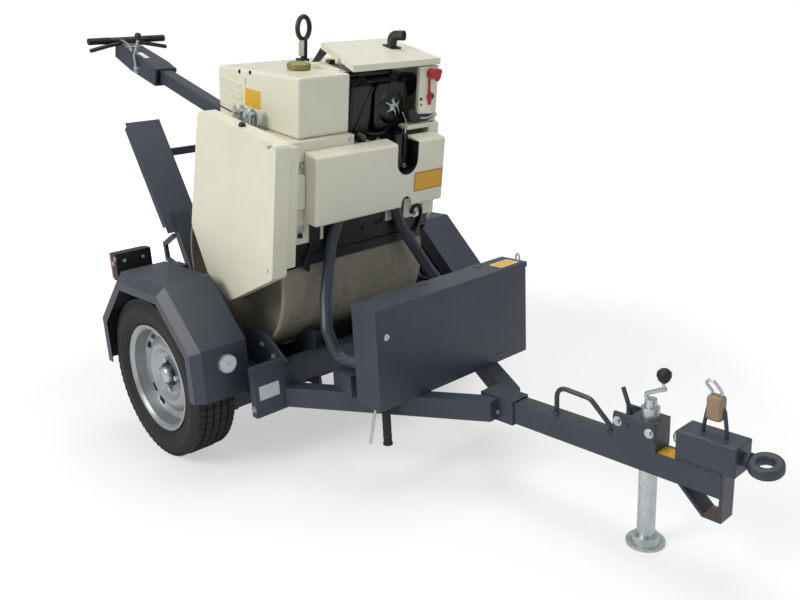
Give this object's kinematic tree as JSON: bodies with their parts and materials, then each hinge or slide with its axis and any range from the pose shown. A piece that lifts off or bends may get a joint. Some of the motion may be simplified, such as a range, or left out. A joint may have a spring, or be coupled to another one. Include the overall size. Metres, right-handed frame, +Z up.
{
  "type": "trench roller",
  "caption": "Walk-behind drum roller with a guide handle, carried on a two-wheel road trailer with fenders, toolbox, jack, tow eye and folded loading ramp.",
  "frame": {"origin": "middle of the whole object's box in X and Y, on the floor under the tyres", "axes": "+X forward along the drawbar to the tow eye, +Y to the left, +Z up"},
  "size_m": [2.9902, 1.31, 1.4074],
  "materials": {
    "anthracite_paint": "satin",
    "black_plastic": "satin",
    "black_steel": "satin black",
    "brass": "dull",
    "clear_reflector": "gloss",
    "cream_paint": "satin",
    "drum_steel": "worn",
    "lamp_red": "gloss",
    "red_plastic": "gloss",
    "silver_paint": "satin silver",
    "tan_sleeve": "matt",
    "tyre_rubber": "matt",
    "zinc_plate": "zinc plated"
  },
  "bodies": {
    "trailer_and_roller": {"air_cleaner": "black_plastic", "axle": "anthracite_paint", "battery_switch": "red_plastic", "canopy_arms": "black_steel", "chassis": "anthracite_paint", "control_column": "cream_paint", "coupling_box": "anthracite_paint", "drawbar": "anthracite_paint", "drawbar_arms": "anthracite_paint", "drum_axle": "black_steel", "engine_block": "black_steel", "engine_cowl": "black_plastic", "fender_left": "anthracite_paint", "fender_right": "anthracite_paint", "filler_cap": "brass", "front_box": "cream_paint", "grab_handle": "anthracite_paint", "hood": "cream_paint", "hoop": "anthracite_paint", "jack_clamp": "anthracite_paint", "lamp_lens_left": "lamp_red", "lamp_lens_right": "lamp_red", "lifting_eye": "black_steel", "lock_body": "tan_sleeve", "lock_shackle": "zinc_plate", "ramp_latch": "anthracite_paint", "rear_lamp_left": "black_plastic", "rear_lamp_right": "black_plastic", "reflector_left": "clear_reflector", "reflector_right": "clear_reflector", "roller_frame": "black_steel", "safety_staple": "black_steel", "side_cover_left": "cream_paint", "side_cover_right": "cream_paint", "starter_cowl": "black_plastic", "toolbox": "anthracite_paint", "toolbox_prop": "black_plastic", "tow_eye": "black_steel", "tow_hook": "black_steel", "water_tank": "cream_paint"},
    "wheel_right": {"tyre_right": "tyre_rubber", "rim_right": "silver_paint", "hub_right": "black_steel"},
    "wheel_left": {"tyre_left": "tyre_rubber", "rim_left": "silver_paint", "hub_left": "black_steel"},
    "drum": {"drum": "drum_steel"},
    "jack": {"jack_leg": "zinc_plate", "jack_crank": "zinc_plate", "crank_knob": "black_plastic"},
    "toolbox_lid": {"toolbox_lid": "anthracite_paint"},
    "engine_lid": {"canopy": "cream_paint", "exhaust_elbow": "black_steel"},
    "handle": {"handle_arm": "anthracite_paint", "handle_console": "anthracite_paint", "handle_grips": "black_plastic", "travel_lever": "zinc_plate", "lever_knob": "black_plastic"},
    "ramp": {"ramp": "anthracite_paint"}
  },
  "joints": [
    {"name": "wheel_right_spin", "type": "hinge", "parent": "trailer_and_roller", "child": "wheel_right", "pos_m": [-0.32889, -0.558, 0.275], "axis": [0, 1, 0], "continuous": true},
    {"name": "wheel_left_spin", "type": "hinge", "parent": "trailer_and_roller", "child": "wheel_left", "pos_m": [-0.32889, 0.558, 0.275], "axis": [0, 1, 0], "continuous": true},
    {"name": "drum_spin", "type": "hinge", "parent": "trailer_and_roller", "child": "drum", "pos_m": [-0.20389, -0.055, 0.607], "axis": [0, 1, 0], "continuous": true},
    {"name": "jack_slide", "type": "slide", "parent": "trailer_and_roller", "child": "jack", "axis": [0, 0, 1], "range_m": [0, 0.18]},
    {"name": "toolbox_lid_hinge", "type": "hinge", "parent": "trailer_and_roller", "child": "toolbox_lid", "pos_m": [0.36811, 0, 0.5996], "axis": [0, -1, 0], "range_deg": [0, 100]},
    {"name": "engine_lid_hinge", "type": "hinge", "parent": "trailer_and_roller", "child": "engine_lid", "pos_m": [-0.07852, 0, 1.29705], "axis": [0, -1, 0], "range_deg": [0, 60]},
    {"name": "handle_pivot", "type": "hinge", "parent": "trailer_and_roller", "child": "handle", "pos_m": [-0.37872, 0, 0.95264], "axis": [0, 1, 0], "range_deg": [0, 70]},
    {"name": "ramp_hinge", "type": "hinge", "parent": "trailer_and_roller", "child": "ramp", "pos_m": [-0.56689, 0, 0.3], "axis": [0, -1, 0], "range_deg": [0, 88]}
  ]
}
